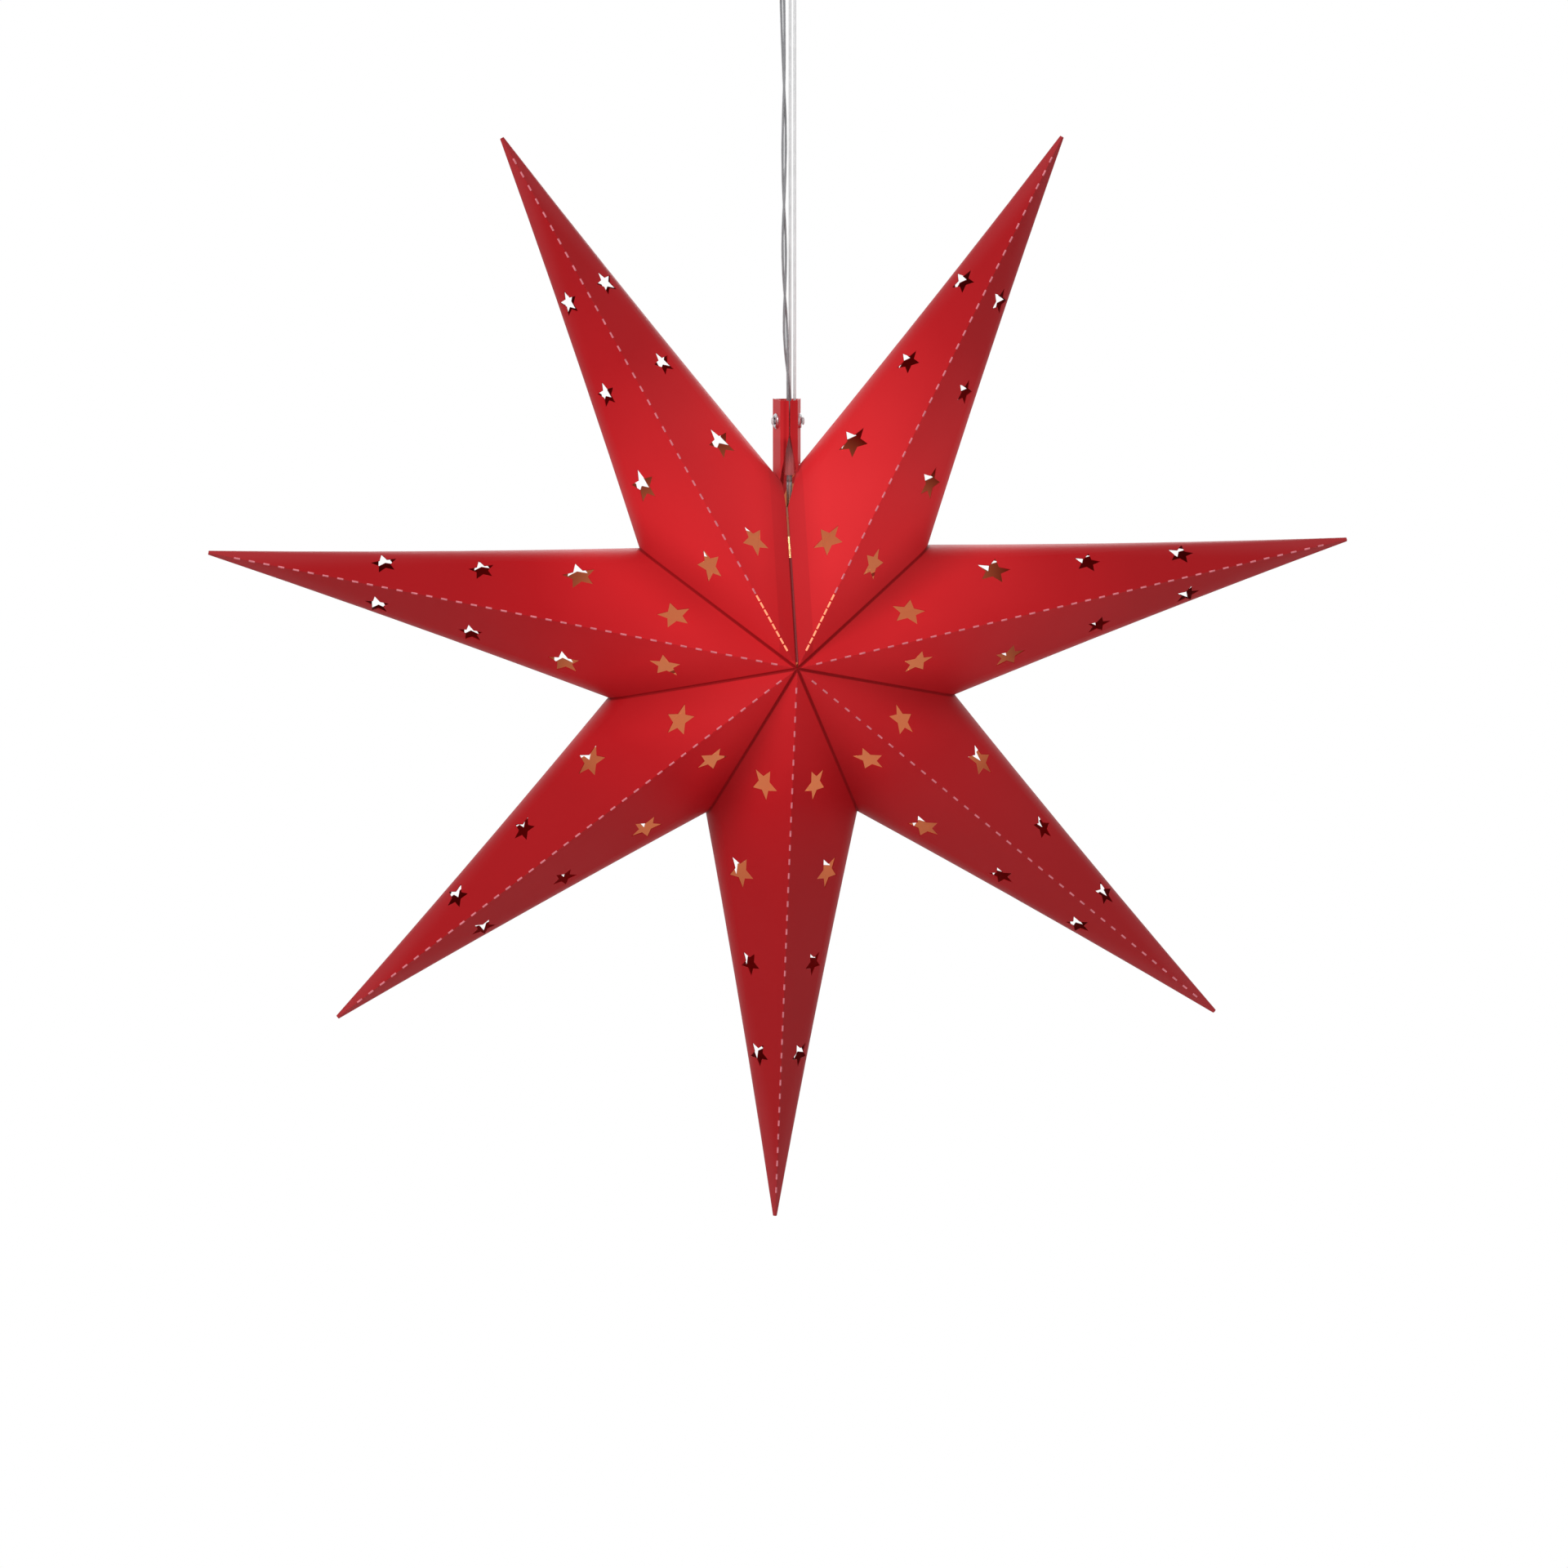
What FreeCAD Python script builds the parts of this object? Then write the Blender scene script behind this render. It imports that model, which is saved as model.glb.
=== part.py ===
import FreeCAD, Part
import math
import os
from FreeCAD import Placement, Rotation, Vector

# Folded paper star lantern with seven hollow arms, hung by a doubled line from a loop.
# Millimetres, +Z up, the front apex faces -Y, the origin is where the loop bears on its hook.

os.makedirs("parts", exist_ok=True)
doc = FreeCAD.newDocument("paper_star_lantern")
sheet = doc.addObject("Spreadsheet::Sheet", "Sizes")

# Driving sizes: the star's paper
SIZES = {
    "hang_drop": 508.0,
    "star_offset": -4.4,
    "star_radius": 300.0,
    "centre_half_depth": 75.0,
    "centre_half_width": 69.6,
    "centre_bend_radius": 36.0,
    "waist_distance": 100.0,
    "waist_half_depth": 25.8,
    "waist_half_width": 21.6,
    "waist_bend_radius": 12.0,
    "tip_half_depth": 1.4,
    "tip_half_width": 1.5,
    "tip_bend_radius": 1.0,
    "paper_thickness": 0.4,
    "seam_clearance": 0.5,
    "lap_width": 5.5,
    "flange_width": 6.0,
    "closing_flap_width": 9.0,
    "glue_gap": 0.1,
    # Driving sizes: the star-shaped cut-outs, from the tip of the arm to the centre
    "cutout_first": 89.0,
    "cutout_spacing": 49.3,
    "outer_cutout_size": 13.8,
    "inner_cutout_size": 18.0,
    "cutout_side_ratio": 0.12,
    "inner_cutout_side": 13.5,
    "cutout_reach": 12.0,
    # Driving sizes: the hanging tab and its fittings
    "tab_bottom": 93.0,
    "tab_height": 37.0,
    "tab_seat_depth": 12.0,
    "tab_front_depth": 9.5,
    "tab_back_depth": 6.5,
    "slit_half_width": 0.5,
    "leaf_fold_width": 4.3,
    "leaf_back_width": 7.0,
    "tab_lean": 2.1,
    "tab_slit_top": 114.0,
    "tab_slit_half_width": 6.5,
    "mouth_top": 96.0,
    "mouth_bottom": 76.0,
    "mouth_half_width": 4.6,
    "eyelet_height": 118.9,
    "eyelet_bore": 3.6,
    "eyelet_barrel": 5.0,
    "eyelet_outer": 8.0,
    "eyelet_rim": 0.8,
    "clip_width": 5.6,
    "clip_depth": 4.8,
    "clip_height": 20.0,
    "clip_bottom": 91.5,
    "clip_rounding": 0.9,
    # Driving sizes: the line
    "line_diameter": 1.5,
    "strand_spacing": 2.4,
    "strand_bend": 2.6,
    "loop_length": 34.0,
    "loop_radius": 6.0,
    "top_knot_size": 6.0,
    "end_knot_size": 4.2,
    "end_knot_thickness": 1.6,
    "knot_gap": 0.3,
    # Driving sizes: the cable, its coil and plug
    "cable_diameter": 3.2,
    "cable_gap": 0.6,
    "cable_clearance": 0.1,
    "cable_tab_side": 0.5,
    "cable_forward": 2.9,
    "cable_tab_top": 118.4,
    "coil_turns_per_layer": 4.0,
    "coil_layers": 4.0,
    "coil_inner_radius": 20.0,
    "coil_facing": 16.0,
    "coil_tail": 10.0,
    "tie_width": 8.0,
    "tie_thickness": 1.2,
    "relief_length": 26.0,
    "relief_diameter": 6.4,
    "plug_length": 34.0,
    "plug_width": 26.0,
    "plug_thickness": 13.5,
    "pin_length": 19.0,
    "pin_diameter": 4.0,
    "pin_spacing": 18.6,
    # Driving sizes: the lamp
    "lamp_height": 60.0,
    "lamp_pivot": 88.0,
    "cap_wall": 0.8,
    "cap_diameter": 13.0,
    "cap_length": 15.0,
    "board_diameter": 11.0,
    "board_thickness": 1.0,
    "led_size": 2.8,
    "led_count": 5.0,
    "lens_diameter": 12.4,
    "lens_length": 13.0,
    "lens_wall": 0.9,
}
for row, (alias, value) in enumerate(SIZES.items(), 1):
    sheet.set("A%d" % row, alias)
    sheet.set("B%d" % row, str(value))
    sheet.setAlias("B%d" % row, alias)
doc.recompute()


def size(name):
    return float(getattr(sheet, name))


CENTRE = Vector(size("star_offset"), 0, -size("hang_drop"))
PAPER = size("paper_thickness")
# Directions of the arms, clockwise from straight up as seen from the front
ARMS = {
    "arm_upper_right": 28.5,
    "arm_right": 79.4,
    "arm_lower_right": 130.4,
    "arm_bottom": 180.9,
    "arm_lower_left": 230.9,
    "arm_left": 280.3,
    "arm_upper_left": 331.4,
}
NAMES = list(ARMS)
finished = {}


def keep(name, shape, placement=None):
    """Adds a finished sub-part whose shape is set here."""
    feature = doc.addObject("Part::Feature", name)
    feature.Label = name
    feature.Shape = shape
    if placement is not None:
        feature.Placement = placement.multiply(feature.Placement)
    finished[name] = feature
    return feature


def bind(item, **cells):
    """Ties an object's sizes to expressions of the sheet's cells."""
    for prop, formula in cells.items():
        item.setExpression(prop.replace("__", "."), formula)
    return item


# Paper arms: each is a lofted rhombic cone, cut into its four panels at the folds
def panel_section(distance, half_depth, corner, bend, inset=0.0, reach=None):
    """A front right panel's section as a closed wire, at a distance from the arm's tip."""
    slope = math.hypot(corner, half_depth)
    cos_side = half_depth / slope
    sin_side = corner / slope
    centre = corner - bend / cos_side
    out = size("star_radius") - distance

    def rim(radius, angle_share):
        start = math.atan2(sin_side, cos_side)
        angle = start * (1 - angle_share)
        return Vector(centre + radius * math.cos(angle), -radius * math.sin(angle), out)

    outer = bend - inset
    inner = outer - (PAPER if reach is None else reach)
    ridge_outer = Vector(0, -half_depth + inset / sin_side, out)
    ridge_inner = Vector(0, -half_depth + (bend - inner) / sin_side, out)
    edges = [
        Part.LineSegment(ridge_outer, rim(outer, 0)).toShape(),
        Part.Arc(rim(outer, 0), rim(outer, 0.5), rim(outer, 1)).toShape(),
        Part.LineSegment(rim(outer, 1), rim(inner, 1)).toShape(),
        Part.Arc(rim(inner, 1), rim(inner, 0.5), rim(inner, 0)).toShape(),
        Part.LineSegment(rim(inner, 0), ridge_inner).toShape(),
        Part.LineSegment(ridge_inner, ridge_outer).toShape(),
    ]
    return Part.Wire(edges)


def arm_sections():
    """Distance from the tip, half depth, corner half width and bend radius of three sections."""
    return [
        (0.0, size("tip_half_depth"), size("tip_half_width"), size("tip_bend_radius")),
        (
            size("waist_distance"),
            size("waist_half_depth"),
            size("waist_half_width"),
            size("waist_bend_radius"),
        ),
        (
            size("star_radius"),
            size("centre_half_depth"),
            size("centre_half_width"),
            size("centre_bend_radius"),
        ),
    ]


def wedge(half_angle, clearance=0.0):
    """The space that the right side of an arm keeps between its own plane and the valley."""
    reach = 2 * size("star_radius")
    side = math.radians(half_angle)
    step = clearance / math.sin(side)
    points = [
        Vector(0, -reach, step),
        Vector(reach * math.sin(side), -reach, step + reach * math.cos(side)),
        Vector(0, -reach, step + reach * math.cos(side)),
    ]
    face = Part.Face(Part.makePolygon(points + points[:1]))
    return face.extrude(Vector(0, 2 * reach, 0))


def star_prism(outer, thickness):
    """A five-pointed star prism about the origin, one point along +Z, thick along Y."""
    inner = outer * 0.46
    points = []
    for index in range(10):
        radius = outer if index % 2 == 0 else inner
        angle = math.radians(36 * index)
        points.append(Vector(radius * math.sin(angle), -thickness / 2, radius * math.cos(angle)))
    face = Part.Face(Part.makePolygon(points + points[:1]))
    return face.extrude(Vector(0, thickness, 0))


def cutouts():
    """The four star prisms that pierce a front right panel."""
    tools = []
    depth_rate = size("waist_half_depth") / size("waist_distance")
    corner_rate = size("waist_half_width") / size("waist_distance")
    lean = math.degrees(math.atan2(depth_rate, corner_rate))
    for index in range(4):
        distance = size("cutout_first") + index * size("cutout_spacing")
        across = distance * size("cutout_side_ratio")
        if index == 3:
            across = size("inner_cutout_side")
        share = across / (corner_rate * distance)
        width = size("outer_cutout_size") if index < 2 else size("inner_cutout_size")
        prism = star_prism(width / 2, size("cutout_reach"))
        prism.rotate(Vector(0, 0, 0), Vector(0, 0, 1), lean)
        deep = -depth_rate * distance * (1 - share)
        prism.translate(Vector(across, deep, size("star_radius") - distance))
        tools.append(prism)
    return tools


def front_panel(half_angle, clearance):
    """One pierced panel, on the +X side of its ridge."""
    wires = [panel_section(*row) for row in arm_sections()]
    cone = Part.makeLoft(wires, True, False)
    panel = cone.common(wedge(half_angle, clearance))
    return panel.cut(cutouts())


def lining(reach):
    """A front right panel's second layer, glued inside the first and as deep as asked."""
    inset = PAPER + size("glue_gap")
    wires = []
    for distance, depth, corner, bend in arm_sections():
        room = bend - inset - 0.2 * size("glue_gap")
        wires.append(panel_section(distance, depth, corner, bend, inset, min(reach, room)))
    return Part.makeLoft(wires, True, False)


def lap_strip(half_angle, clearance):
    """The glued lap inside a front panel's outer edge, pierced with the panel."""
    width = size("lap_width")
    edge = []
    for distance, depth, corner, bend in arm_sections()[1:]:
        slope = math.hypot(corner, depth)
        edge.append((corner + bend - bend * slope / depth, size("star_radius") - distance))
    (waist, high), (centre, low) = edge
    points = [
        Vector(waist - width, -size("centre_half_depth"), high),
        Vector(centre - width, -size("centre_half_depth"), low),
        Vector(centre + width, -size("centre_half_depth"), low),
        Vector(waist + width, -size("centre_half_depth"), high),
    ]
    face = Part.Face(Part.makePolygon(points + points[:1]))
    band = face.extrude(Vector(0, size("centre_half_depth"), 0))
    lap = lining(PAPER).common([band]).common(wedge(half_angle, clearance))
    return lap.cut(cutouts())


def valley_strip(half_angle):
    """The flange along a valley: it stands inward and is glued to the next arm's."""
    slab = wedge(half_angle).cut(wedge(half_angle, PAPER))
    front = lining(size("flange_width")).common(slab)
    return [front, mirrored(front, Vector(0, 1, 0))]


def closing_strip(half_angle):
    """The flap inside an open seam, folded flat behind the panel."""
    start = size("seam_clearance")
    near = wedge(half_angle, start)
    far = wedge(half_angle, start + size("closing_flap_width"))
    front = lining(PAPER).common(near.cut(far))
    return [front, mirrored(front, Vector(0, 1, 0))]


def mirrored(shape, normal):
    return shape.mirror(Vector(0, 0, 0), normal)


def gaps_of(index):
    """Half angles to the next arm clockwise and to the one before."""
    angles = list(ARMS.values())
    after = (angles[(index + 1) % 7] - angles[index]) % 360
    before = (angles[index] - angles[index - 1]) % 360
    return after / 2, before / 2


def arm_placement(angle):
    return Placement(CENTRE, Rotation(Vector(0, 1, 0), angle))


def placed(shapes, placement):
    """Copies of the shapes, moved with a placement."""
    copies = []
    for shape in shapes:
        copy = shape.copy()
        copy.Placement = placement.multiply(shape.Placement)
        copies.append(copy)
    return copies


side_panels = {}


def right_side(half_angle, clearance):
    """The front and the back panel on the +X side of an arm."""
    key = (round(half_angle, 4), clearance)
    if key not in side_panels:
        front = front_panel(half_angle, clearance)
        side_panels[key] = [front, mirrored(front, Vector(0, 1, 0))]
    return side_panels[key]


def seam_mouth():
    """The V between the two upper arms that the cable slips through."""
    top = size("mouth_top")
    bottom = size("mouth_bottom")
    wide = size("mouth_half_width")
    narrow = size("seam_clearance")
    middle = size("tab_lean") + size("cable_tab_side")
    points = [
        Vector(middle - wide, -wide * 5, top),
        Vector(-narrow, -wide * 5, bottom),
        Vector(narrow, -wide * 5, bottom),
        Vector(middle + wide, -wide * 5, top),
    ]
    face = Part.Face(Part.makePolygon(points + points[:1]))
    mouth = face.extrude(Vector(0, wide * 10, 0))
    mouth.translate(CENTRE)
    return mouth


def make_arms():
    laps = []
    flanges = []
    mouth = seam_mouth()
    for index, name in enumerate(NAMES):
        after, before = gaps_of(index)
        place = arm_placement(ARMS[name])
        open_after = size("seam_clearance") if name == "arm_upper_left" else 0.0
        open_before = size("seam_clearance") if name == "arm_upper_right" else 0.0
        panels = list(right_side(after, open_after))
        for panel in right_side(before, open_before):
            panels.append(mirrored(panel, Vector(1, 0, 0)))
        arm = placed(panels, place)
        if open_after or open_before:
            arm = [panel.cut(mouth) for panel in arm]
        keep(name, Part.makeCompound(arm))
        inner = open_after + (size("closing_flap_width") if open_after else PAPER)
        lap = lap_strip(after, inner + 2 * size("glue_gap"))
        laps.extend(placed([lap], place))
        if not open_after:
            flanges.extend(placed(valley_strip(after), place))
    keep("arm_laps", Part.makeCompound(laps))
    keep("valley_flanges", Part.makeCompound(flanges))


def make_closing_flaps():
    mouth = seam_mouth()
    after, before = gaps_of(NAMES.index("arm_upper_left"))
    left = placed(closing_strip(after), arm_placement(ARMS["arm_upper_left"]))
    keep("closing_flap_left", Part.makeCompound([flap.cut(mouth) for flap in left]))
    after, before = gaps_of(NAMES.index("arm_upper_right"))
    strips = [mirrored(strip, Vector(1, 0, 0)) for strip in closing_strip(before)]
    right = placed(strips, arm_placement(ARMS["arm_upper_right"]))
    keep("closing_flap_right", Part.makeCompound([flap.cut(mouth) for flap in right]))


# Hanging tab: two leaves that close into a sleeve, each with a metal eyelet
def filled_quarter(clearance):
    """The space inside and just outside an arm's front right quarter."""
    wires = []
    for distance, depth, corner, bend in arm_sections():
        outline = panel_section(distance, depth, corner, bend, -clearance, PAPER)
        rim = outline.OrderedEdges[:2]
        out = size("star_radius") - distance
        ridge = rim[0].Vertexes[0].Point
        side = rim[1].Vertexes[-1].Point
        middle = Vector(0, 0, out)
        closing = [Part.makeLine(side, middle), Part.makeLine(middle, ridge)]
        wires.append(Part.Wire(list(rim) + closing))
    return Part.makeLoft(wires, True, False)


TAB = CENTRE + Vector(size("tab_lean"), 0, 0)


def leaf_path():
    """The right leaf's plan: a front edge at the slit, a fold and a side that leans outward."""
    front = Vector(size("slit_half_width"), -size("tab_front_depth"), 0)
    fold = Vector(size("leaf_fold_width"), -size("tab_back_depth"), 0)
    back = Vector(size("leaf_back_width"), size("tab_back_depth"), 0)
    return front, fold, back


def leaf_side(at_y):
    """The distance from the tab's middle plane to the leaf's middle, at a depth."""
    front, fold, back = leaf_path()
    return fold.x + (back.x - fold.x) * (at_y - fold.y) / (back.y - fold.y)


def leaf_lean():
    front, fold, back = leaf_path()
    return math.degrees(math.atan2(back.x - fold.x, back.y - fold.y))


def make_leaf():
    """The right leaf about the tab's own axis, its heights from the star's centre."""
    path = Part.makePolygon(list(leaf_path()))
    band = path.makeOffset2D(PAPER / 2, 0, False, False, False)
    low = size("tab_bottom") - size("tab_seat_depth")
    blank = Part.Face(band)
    blank.translate(Vector(0, 0, low))
    leaf = blank.extrude(Vector(0, 0, size("tab_bottom") + size("tab_height") - low))
    slit_top = size("tab_slit_top")
    reach = size("tab_slit_half_width")
    bottom = low - 1
    points = [Vector(0, -30, slit_top), Vector(-reach, -30, bottom), Vector(reach, -30, bottom)]
    opening = Part.Face(Part.makePolygon(points + points[:1])).extrude(Vector(0, 27, 0))
    hole = Part.makeCylinder(size("eyelet_barrel") / 2 + 0.1, 10, Vector(-5, 0, 0), Vector(1, 0, 0))
    hole.Placement = eyelet_placement().multiply(hole.Placement)
    return leaf.cut([opening, hole])


def eyelet_placement():
    at = Vector(leaf_side(0), 0, size("eyelet_height"))
    return Placement(at, Rotation(Vector(0, 0, 1), -leaf_lean()))


def eyelet_shape():
    """A rolled metal eyelet about the X axis, gripping the leaf between its two rims."""
    bore = size("eyelet_bore") / 2
    barrel = size("eyelet_barrel") / 2
    rim = size("eyelet_outer") / 2
    near = PAPER / 2 + 0.05
    far = near + size("eyelet_rim")
    crown = (bore + rim) / 2
    outline = [
        Part.makeLine(Vector(-far, bore, 0), Vector(far, bore, 0)),
        Part.Arc(Vector(far, bore, 0), Vector(far + 0.35, crown, 0), Vector(far - 0.3, rim, 0)).toShape(),
        Part.makeLine(Vector(far - 0.3, rim, 0), Vector(near, rim, 0)),
        Part.makeLine(Vector(near, rim, 0), Vector(near, barrel, 0)),
        Part.makeLine(Vector(near, barrel, 0), Vector(-near, barrel, 0)),
        Part.makeLine(Vector(-near, barrel, 0), Vector(-near, rim, 0)),
        Part.makeLine(Vector(-near, rim, 0), Vector(-far, rim, 0)),
        Part.makeLine(Vector(-far, rim, 0), Vector(-far, bore, 0)),
    ]
    return Part.Face(Part.Wire(outline)).revolve(Vector(0, 0, 0), Vector(1, 0, 0), 360)


def make_tab():
    cutters = []
    for name in ("arm_upper_left", "arm_upper_right"):
        quarter = filled_quarter(size("knot_gap"))
        quarters = [quarter, mirrored(quarter, Vector(0, 1, 0))]
        quarters += [mirrored(item, Vector(1, 0, 0)) for item in quarters]
        cutters.extend(placed(quarters, arm_placement(ARMS[name])))
    leaf = make_leaf()
    eyelet = eyelet_shape()
    eyelet.Placement = eyelet_placement().multiply(eyelet.Placement)
    for side, name in ((1, "right"), (-1, "left")):
        sheet_leaf = leaf if side > 0 else mirrored(leaf, Vector(1, 0, 0))
        ring = eyelet if side > 0 else mirrored(eyelet, Vector(1, 0, 0))
        at = Placement(TAB, Rotation())
        cut_leaf = placed([sheet_leaf], at)[0].cut(cutters)
        keep("tab_leaf_" + name, cut_leaf)
        keep("eyelet_" + name, placed([ring], at)[0])


def make_clip():
    """The clear clip that holds the cable in the tab's front opening."""
    block = doc.addObject("Part::Box", "clip_block")
    bind(block, Length="Sizes.clip_width", Width="Sizes.clip_depth", Height="Sizes.clip_height")
    block.Placement = Placement(
        TAB + Vector(size("cable_tab_side") - size("clip_width") / 2,
                     -size("cable_forward") - size("clip_depth") / 2,
                     size("clip_bottom")),
        Rotation(),
    )
    bore = doc.addObject("Part::Cylinder", "clip_bore")
    bind(bore, Radius="Sizes.cable_diameter / 2 + Sizes.cable_clearance",
         Height="Sizes.clip_height + 2")
    bore.Placement = Placement(
        TAB + Vector(size("cable_tab_side"), -size("cable_forward"), size("clip_bottom") - 1),
        Rotation(),
    )
    doc.recompute()
    rounded = doc.addObject("Part::Fillet", "clip_rounded")
    rounded.Base = block
    upright = [index for index, edge in enumerate(block.Shape.Edges, 1)
               if abs(edge.tangentAt(edge.FirstParameter).z) > 0.9]
    rounded.Edges = [(index, size("clip_rounding"), size("clip_rounding")) for index in upright]
    clip = doc.addObject("Part::Cut", "cord_clip")
    clip.Base = rounded
    clip.Tool = bore
    clip.Label = "cord_clip"
    finished["cord_clip"] = clip


# Line: a loop for the hook, a knot, two strands and their end knots in the eyelets
def tube(points, diameter, bends=None):
    """A round tube along straight runs that tangent arcs join."""
    edges = []
    start = points[0]
    for index in range(1, len(points) - 1):
        before, corner, after = points[index - 1 : index + 2]
        one = (before - corner)
        two = (after - corner)
        turn = math.pi - one.getAngle(two)
        shorter = min(one.Length, two.Length)
        radius = 0.45 * shorter / math.tan(turn / 2)
        if bends and bends.get(index):
            radius = min(radius, bends[index])
        cut = radius * math.tan(turn / 2)
        one = Vector(one).normalize()
        two = Vector(two).normalize()
        first = corner + one * cut
        last = corner + two * cut
        middle = (one + two).normalize()
        centre = corner + middle * (radius / math.cos(turn / 2))
        edges.append(Part.makeLine(start, first))
        edges.append(Part.Arc(first, centre - middle * radius, last).toShape())
        start = last
    edges.append(Part.makeLine(start, points[-1]))
    wire = Part.Wire(edges)
    radii = [edge.Curve.Radius for edge in edges if hasattr(edge.Curve, "Radius")]
    print("arc radii " + " ".join("%.1f" % radius for radius in radii))
    return pipe(wire, diameter)


def pipe(wire, diameter):
    """A round pipe along a wire whose pieces join smoothly."""
    first = wire.OrderedEdges[0]
    start = first.valueAt(first.FirstParameter)
    along = first.tangentAt(first.FirstParameter)
    if (wire.OrderedVertexes[0].Point - start).Length > 1e-6:
        start = first.valueAt(first.LastParameter)
        along = first.tangentAt(first.LastParameter) * -1
    ring = Part.Wire(Part.makeCircle(diameter / 2, start, along))
    shape = wire.makePipeShell([ring], True, False)
    error = abs(shape.Volume / (math.pi * diameter**2 / 4 * wire.Length) - 1)
    print("pipe length %.1f volume error %.5f" % (wire.Length, error))
    return shape


def heights(points):
    """Points whose heights are given from the star's centre."""
    return [Vector(x, y, z - size("hang_drop")) for x, y, z in points]


def make_line():
    diameter = size("line_diameter")
    knot_at = -size("loop_length")
    knot = size("top_knot_size") / 2
    gap = size("knot_gap")
    foot = size("strand_spacing") / 2
    wide = size("loop_radius")
    top = diameter / 2
    start = knot_at + knot + gap
    loop = [
        Vector(-foot, 0, start),
        Vector(-wide, 0, -wide * 1.6),
        Vector(-wide * 0.7, 0, top),
        Vector(wide * 0.7, 0, top),
        Vector(wide, 0, -wide * 1.6),
        Vector(foot, 0, start),
    ]
    keep("hanging_loop", tube(loop, diameter))
    ball = doc.addObject("Part::Sphere", "top_knot")
    ball.Label = "top_knot"
    bind(ball, Radius="Sizes.top_knot_size / 2", Placement__Base__z="-Sizes.loop_length")
    finished["top_knot"] = ball
    eye = size("eyelet_height") - size("hang_drop")
    reach = leaf_side(0) + PAPER / 2 + size("eyelet_rim")
    upper = 2 * knot_at - start
    for side, name in ((1, "right"), (-1, "left")):
        x = side * foot
        end = TAB.x + side * (reach + gap)
        strand = [
            Vector(x, 0, upper),
            Vector(x, 0, eye),
            Vector(end, 0, eye),
        ]
        keep("line_strand_" + name, tube(strand, diameter, {1: size("strand_bend")}))
        button = doc.addObject("Part::Ellipsoid", "end_knot_" + name)
        button.Label = "end_knot_" + name
        bind(button, Radius1="Sizes.end_knot_thickness / 2", Radius2="Sizes.end_knot_size / 2")
        thick = size("end_knot_thickness") / 2
        button.Placement = Placement(
            Vector(end + side * (thick + size("glue_gap")), 0, eye),
            Rotation(Vector(0, 1, 0), 90),
        )
        finished["end_knot_" + name] = button


# Cable: twin flex from the coil above, past the tab and into the star
CABLE_ROUTE = [
    (-5.3, 13.0, 424.0),
    (-5.3, 13.0, 402.0),
    (-5.5, 1.0, 362.0),
    (-5.1, -0.2, 332.0),
    (-4.1, -0.6, 284.0),
    (-4.5, -1.2, 236.0),
    (-4.3, -1.8, 194.0),
    (-3.6, -2.4, 158.0),
    (-1.9, -2.9, 133.0),
    (-1.8, -2.9, 121.4),
]


def coil_frame():
    facing = math.radians(size("coil_facing"))
    start = heights(CABLE_ROUTE[:1])[0]
    across = Vector(math.sin(facing), math.cos(facing), 0)
    stack = Vector(-math.cos(facing), math.sin(facing), 0)
    return start, across, stack


def coil_wire():
    """Half turns that spiral in and out, layer behind layer, from the cable's top."""
    start, across, stack = coil_frame()
    step = size("cable_diameter") + size("cable_gap")
    halves = int(2 * size("coil_turns_per_layer"))
    layers = int(size("coil_layers"))
    outermost = size("coil_inner_radius") + halves * step / 2
    edges = []
    at = start
    count = layers * halves + 1
    radius = outermost
    for index in range(count):
        side = 1 if index % 2 == 0 else -1
        layer = index // halves
        climbs = index % halves == 0 and index > 0 and layer < layers
        move = across * (2 * radius * side)
        if climbs:
            move = move + stack * step
        end = at + move
        rise = Vector(0, 0, side * move.Length / 2)
        edges.append(Part.Arc(at, at + move * 0.5 + rise, end).toShape())
        at = end
        inward = layer % 2 == 0
        radius += -step / 2 if inward else step / 2
    end = at - Vector(0, 0, size("coil_tail"))
    edges.append(Part.makeLine(at, end))
    return Part.Wire(edges), end, outermost


def least_gap(wire, diameter, apart):
    """The least gap of a tube to itself, on points of its line, for points at least so far apart along it."""
    points = wire.discretize(Distance=1.2)
    along = wire.Length / (len(points) - 1)
    skip = math.ceil(apart / along)
    places = [(p.x, p.y, p.z) for p in points]
    least = float("inf")
    for index, (x, y, z) in enumerate(places):
        for a, b, c in places[index + skip:]:
            least = min(least, (x - a) ** 2 + (y - b) ** 2 + (z - c) ** 2)
    return math.sqrt(least) - diameter


def make_cable():
    diameter = size("cable_diameter")
    keep("cable_free", tube(heights(CABLE_ROUTE), diameter))
    wire, end, outermost = coil_wire()
    keep("cable_coil", pipe(wire, diameter))
    half_turns = len(wire.Edges) - 1
    print("coil length %.1f turns %.1f" % (wire.Length, half_turns / 2))
    gap = least_gap(wire, diameter, math.pi * size("coil_inner_radius"))
    print("coil's least gap to itself %.2f" % gap)
    side = TAB.x + size("cable_tab_side")
    hold = [(side, -size("cable_forward"), size("cable_tab_top")),
            (side, -size("cable_forward"), size("lamp_pivot") + size("knot_gap"))]
    points = heights(hold)
    keep("cable_tab", pipe(Part.Wire(Part.makeLine(*points)), diameter))
    lamp = Vector(side, -size("cable_forward"), 0)
    low = size("lamp_height") + size("cap_length")
    points = heights([(lamp.x, lamp.y, size("lamp_pivot") - size("knot_gap")), (lamp.x, lamp.y, low)])
    keep("cable_lamp", pipe(Part.Wire(Part.makeLine(*points)), diameter))
    make_tie(outermost)
    make_plug(end)


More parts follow.
